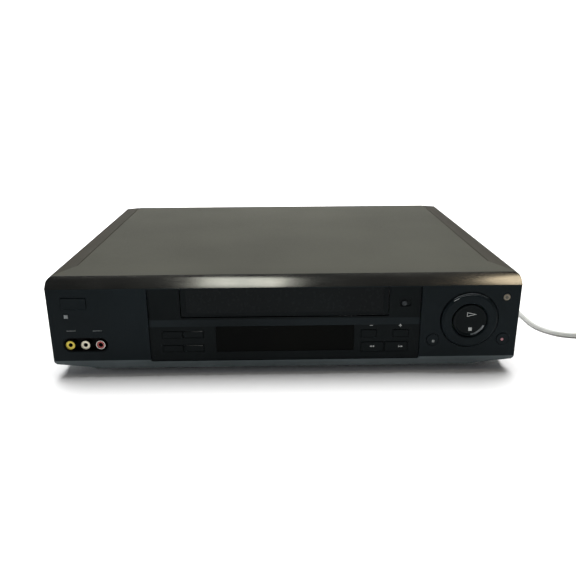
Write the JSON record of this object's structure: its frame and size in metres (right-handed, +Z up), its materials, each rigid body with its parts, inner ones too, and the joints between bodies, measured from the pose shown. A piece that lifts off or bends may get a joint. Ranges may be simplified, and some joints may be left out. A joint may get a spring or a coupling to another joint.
{
  "type": "video cassette recorder",
  "caption": "Video cassette recorder with a centre cassette door, smoked display window, shuttle ring, front sockets, a tape transport inside and a mains lead with plug.",
  "frame": {"origin": "centre of the case's base, on the surface that it stands on", "axes": "+X to the right seen from the front, +Y towards the rear, +Z up"},
  "size_m": [0.6064, 0.422, 0.0978],
  "materials": {
    "front_plastic": "moulded, fine satin texture",
    "strip_finish": "brushed along its length",
    "bay_plastic": "moulded, smooth",
    "door_plastic": "moulded, smooth",
    "window_plastic": "polished, smoked",
    "tube_glass": "polished glass over grey-green segments",
    "circuit_board": "solder resist",
    "switch_metal": "stamped",
    "sensor_window": "moulded",
    "jack_yellow": "moulded",
    "jack_white": "moulded",
    "jack_red": "moulded",
    "socket_metal": "nickel plated",
    "socket_block": "moulded",
    "chassis_steel": "zinc plated",
    "cover_paint": "fine textured paint",
    "rear_paint": "satin paint",
    "foot_rubber": "moulded",
    "screw_black": "black zinc",
    "transformer_core": "varnished laminations",
    "tuner_tin": "tinned sheet",
    "deck_steel": "zinc plated",
    "drum_aluminium": "turned and polished",
    "motor_board": "lacquered",
    "motor_steel": "drawn can",
    "holder_steel": "stamped",
    "carriage_steel": "stamped",
    "head_metal": "lapped",
    "capstan_steel": "ground",
    "gear_plastic": "moulded acetal",
    "roller_rubber": "ground",
    "guide_brass": "cast",
    "key_plastic": "moulded",
    "eject_plastic": "moulded",
    "preset_plastic": "moulded",
    "ring_plastic": "moulded",
    "lead_vinyl": "extruded vinyl",
    "plug_vinyl": "moulded vinyl"
  },
  "bodies": {
    "root": {"front_bezel": "front_plastic", "trim_strip": "strip_finish", "centre_fascia": "bay_plastic", "display_window": "window_plastic", "display_tube": "tube_glass", "control_boards": "circuit_board", "tact_switches": "switch_metal", "remote_window": "sensor_window", "yellow_jack": "jack_yellow", "white_jack": "jack_white", "red_jack": "jack_red", "jack_shells": "socket_metal", "bottom_chassis": "chassis_steel", "top_cover": "cover_paint", "rear_panel": "rear_paint", "feet": "foot_rubber", "cover_screws": "screw_black", "main_board": "circuit_board", "transformer": "transformer_core", "tuner_box": "tuner_tin", "rear_jack_block": "socket_block", "transport_plate": "deck_steel", "lower_drum": "drum_aluminium", "capstan_motor": "motor_board", "lift_frame": "holder_steel", "tape_heads": "head_metal", "loading_motor": "motor_steel", "strain_relief": "lead_vinyl", "mains_cord": "lead_vinyl", "cord_coil": "lead_vinyl", "plug": "plug_vinyl"},
    "cassette_door": {"cassette_door": "door_plastic"},
    "lift_carriage": {"lift_carriage": "carriage_steel"},
    "cassette_holder": {"cassette_holder": "holder_steel"},
    "upper_drum": {"upper_drum": "drum_aluminium"},
    "capstan": {"capstan": "capstan_steel"},
    "supply_reel": {"supply_reel": "gear_plastic"},
    "takeup_reel": {"takeup_reel": "gear_plastic"},
    "idler_arm": {"idler_arm": "gear_plastic"},
    "pinch_arm": {"pinch_arm": "carriage_steel"},
    "pinch_roller": {"pinch_roller": "roller_rubber"},
    "supply_guide": {"supply_guide": "guide_brass"},
    "takeup_guide": {"takeup_guide": "guide_brass"},
    "cam_gear": {"cam_gear": "gear_plastic"},
    "worm": {"worm": "gear_plastic"},
    "power_button": {"power_button": "key_plastic"},
    "setup_button": {"setup_button": "key_plastic"},
    "source_button": {"source_button": "key_plastic"},
    "input_button": {"input_button": "key_plastic"},
    "clock_button": {"clock_button": "key_plastic"},
    "eject_button": {"eject_button": "eject_plastic"},
    "channel_down_button": {"channel_down_button": "key_plastic"},
    "channel_up_button": {"channel_up_button": "key_plastic"},
    "rewind_button": {"rewind_button": "key_plastic"},
    "forward_button": {"forward_button": "key_plastic"},
    "pause_button": {"pause_button": "key_plastic"},
    "record_button": {"record_button": "key_plastic"},
    "preset_button": {"preset_button": "preset_plastic"},
    "play_stop_key": {"play_stop_key": "key_plastic"},
    "shuttle_ring": {"shuttle_ring": "ring_plastic"}
  },
  "joints": [
    {"name": "power_press", "type": "slide", "parent": "root", "child": "power_button", "axis": [0, 1, 0], "range_m": [0, 0.0008], "stiffness_N_per_m": 500},
    {"name": "setup_press", "type": "slide", "parent": "root", "child": "setup_button", "axis": [0, 1, 0], "range_m": [0, 0.0008], "stiffness_N_per_m": 500},
    {"name": "source_press", "type": "slide", "parent": "root", "child": "source_button", "axis": [0, 1, 0], "range_m": [0, 0.0008], "stiffness_N_per_m": 500},
    {"name": "input_press", "type": "slide", "parent": "root", "child": "input_button", "axis": [0, 1, 0], "range_m": [0, 0.0008], "stiffness_N_per_m": 500},
    {"name": "clock_press", "type": "slide", "parent": "root", "child": "clock_button", "axis": [0, 1, 0], "range_m": [0, 0.0008], "stiffness_N_per_m": 500},
    {"name": "eject_press", "type": "slide", "parent": "root", "child": "eject_button", "axis": [0, 1, 0], "range_m": [0, 0.0008], "stiffness_N_per_m": 500},
    {"name": "channel_down_press", "type": "slide", "parent": "root", "child": "channel_down_button", "axis": [0, 1, 0], "range_m": [0, 0.0008], "stiffness_N_per_m": 500},
    {"name": "channel_up_press", "type": "slide", "parent": "root", "child": "channel_up_button", "axis": [0, 1, 0], "range_m": [0, 0.0008], "stiffness_N_per_m": 500},
    {"name": "rewind_press", "type": "slide", "parent": "root", "child": "rewind_button", "axis": [0, 1, 0], "range_m": [0, 0.0008], "stiffness_N_per_m": 500},
    {"name": "forward_press", "type": "slide", "parent": "root", "child": "forward_button", "axis": [0, 1, 0], "range_m": [0, 0.0008], "stiffness_N_per_m": 500},
    {"name": "pause_press", "type": "slide", "parent": "root", "child": "pause_button", "axis": [0, 1, 0], "range_m": [0, 0.0008], "stiffness_N_per_m": 500},
    {"name": "record_press", "type": "slide", "parent": "root", "child": "record_button", "axis": [0, 1, 0], "range_m": [0, 0.0008], "stiffness_N_per_m": 500},
    {"name": "preset_press", "type": "slide", "parent": "root", "child": "preset_button", "axis": [0, 1, 0], "range_m": [0, 0.0008], "stiffness_N_per_m": 500},
    {"name": "play_stop_rock", "type": "hinge", "parent": "root", "child": "play_stop_key", "pos_m": [0.16935, -0.1535, 0.0534], "axis": [1, 0, 0], "range_deg": [-3, 3], "stiffness_Nm_per_rad": 0.5},
    {"name": "shuttle_turn", "type": "hinge", "parent": "root", "child": "shuttle_ring", "pos_m": [0.16935, -0.161, 0.0534], "axis": [0, -1, 0], "range_deg": [-70, 70], "stiffness_Nm_per_rad": 0.02},
    {"name": "door_swing", "type": "hinge", "parent": "root", "child": "cassette_door", "pos_m": [0, -0.1548, 0.0872], "axis": [1, 0, 0], "range_deg": [0, 88], "stiffness_Nm_per_rad": 0.01, "springref_deg": -17.19},
    {"name": "carriage_in", "type": "slide", "parent": "root", "child": "lift_carriage", "axis": [0, 1, 0], "range_m": [0, 0.062]},
    {"name": "holder_down", "type": "slide", "parent": "lift_carriage", "child": "cassette_holder", "axis": [0, 0, -1], "range_m": [0, 0.03]},
    {"name": "drum_spin", "type": "hinge", "parent": "root", "child": "upper_drum", "pos_m": [0, 0.061, 0.0295], "axis": [0, -0.0872, 0.9962], "continuous": true},
    {"name": "capstan_spin", "type": "hinge", "parent": "root", "child": "capstan", "pos_m": [0.058, 0.029, 0.025], "axis": [0, 0, 1], "continuous": true},
    {"name": "supply_spin", "type": "hinge", "parent": "root", "child": "supply_reel", "pos_m": [-0.0465, -0.031, 0.025], "axis": [0, 0, 1], "continuous": true},
    {"name": "takeup_spin", "type": "hinge", "parent": "root", "child": "takeup_reel", "pos_m": [0.0465, -0.031, 0.025], "axis": [0, 0, 1], "continuous": true},
    {"name": "idler_swing", "type": "hinge", "parent": "root", "child": "idler_arm", "pos_m": [0, 0.004, 0.025], "axis": [0, 0, 1], "range_deg": [-18, 18]},
    {"name": "cam_spin", "type": "hinge", "parent": "root", "child": "cam_gear", "pos_m": [-0.07, 0.065, 0.03], "axis": [0, 0, 1], "range_deg": [0, 300]},
    {"name": "worm_spin", "type": "hinge", "parent": "root", "child": "worm", "pos_m": [-0.0926, 0.065, 0.036], "axis": [0, 1, 0], "range_deg": [0, 10800]},
    {"name": "pinch_swing", "type": "hinge", "parent": "root", "child": "pinch_arm", "pos_m": [0.086, 0.045, 0.025], "axis": [0, 0, 1], "range_deg": [0, 29]},
    {"name": "pinch_spin", "type": "hinge", "parent": "pinch_arm", "child": "pinch_roller", "pos_m": [0.0599, 0.0496, 0.03], "axis": [0, 0, 1], "continuous": true},
    {"name": "supply_guide_slide", "type": "slide", "parent": "root", "child": "supply_guide", "axis": [-0.1736, 0.9848, 0], "range_m": [0, 0.046]},
    {"name": "takeup_guide_slide", "type": "slide", "parent": "root", "child": "takeup_guide", "axis": [0.1736, 0.9848, 0], "range_m": [0, 0.046]}
  ],
  "couplings": [
    {"joint": "worm_spin", "follows": "cam_spin", "ratio": 36},
    {"joint": "pinch_swing", "follows": "cam_spin", "ratio": 0.096666},
    {"joint": "supply_guide_slide", "follows": "cam_spin", "m_per_rad": 0.0087853},
    {"joint": "takeup_guide_slide", "follows": "cam_spin", "m_per_rad": 0.0087853}
  ]
}
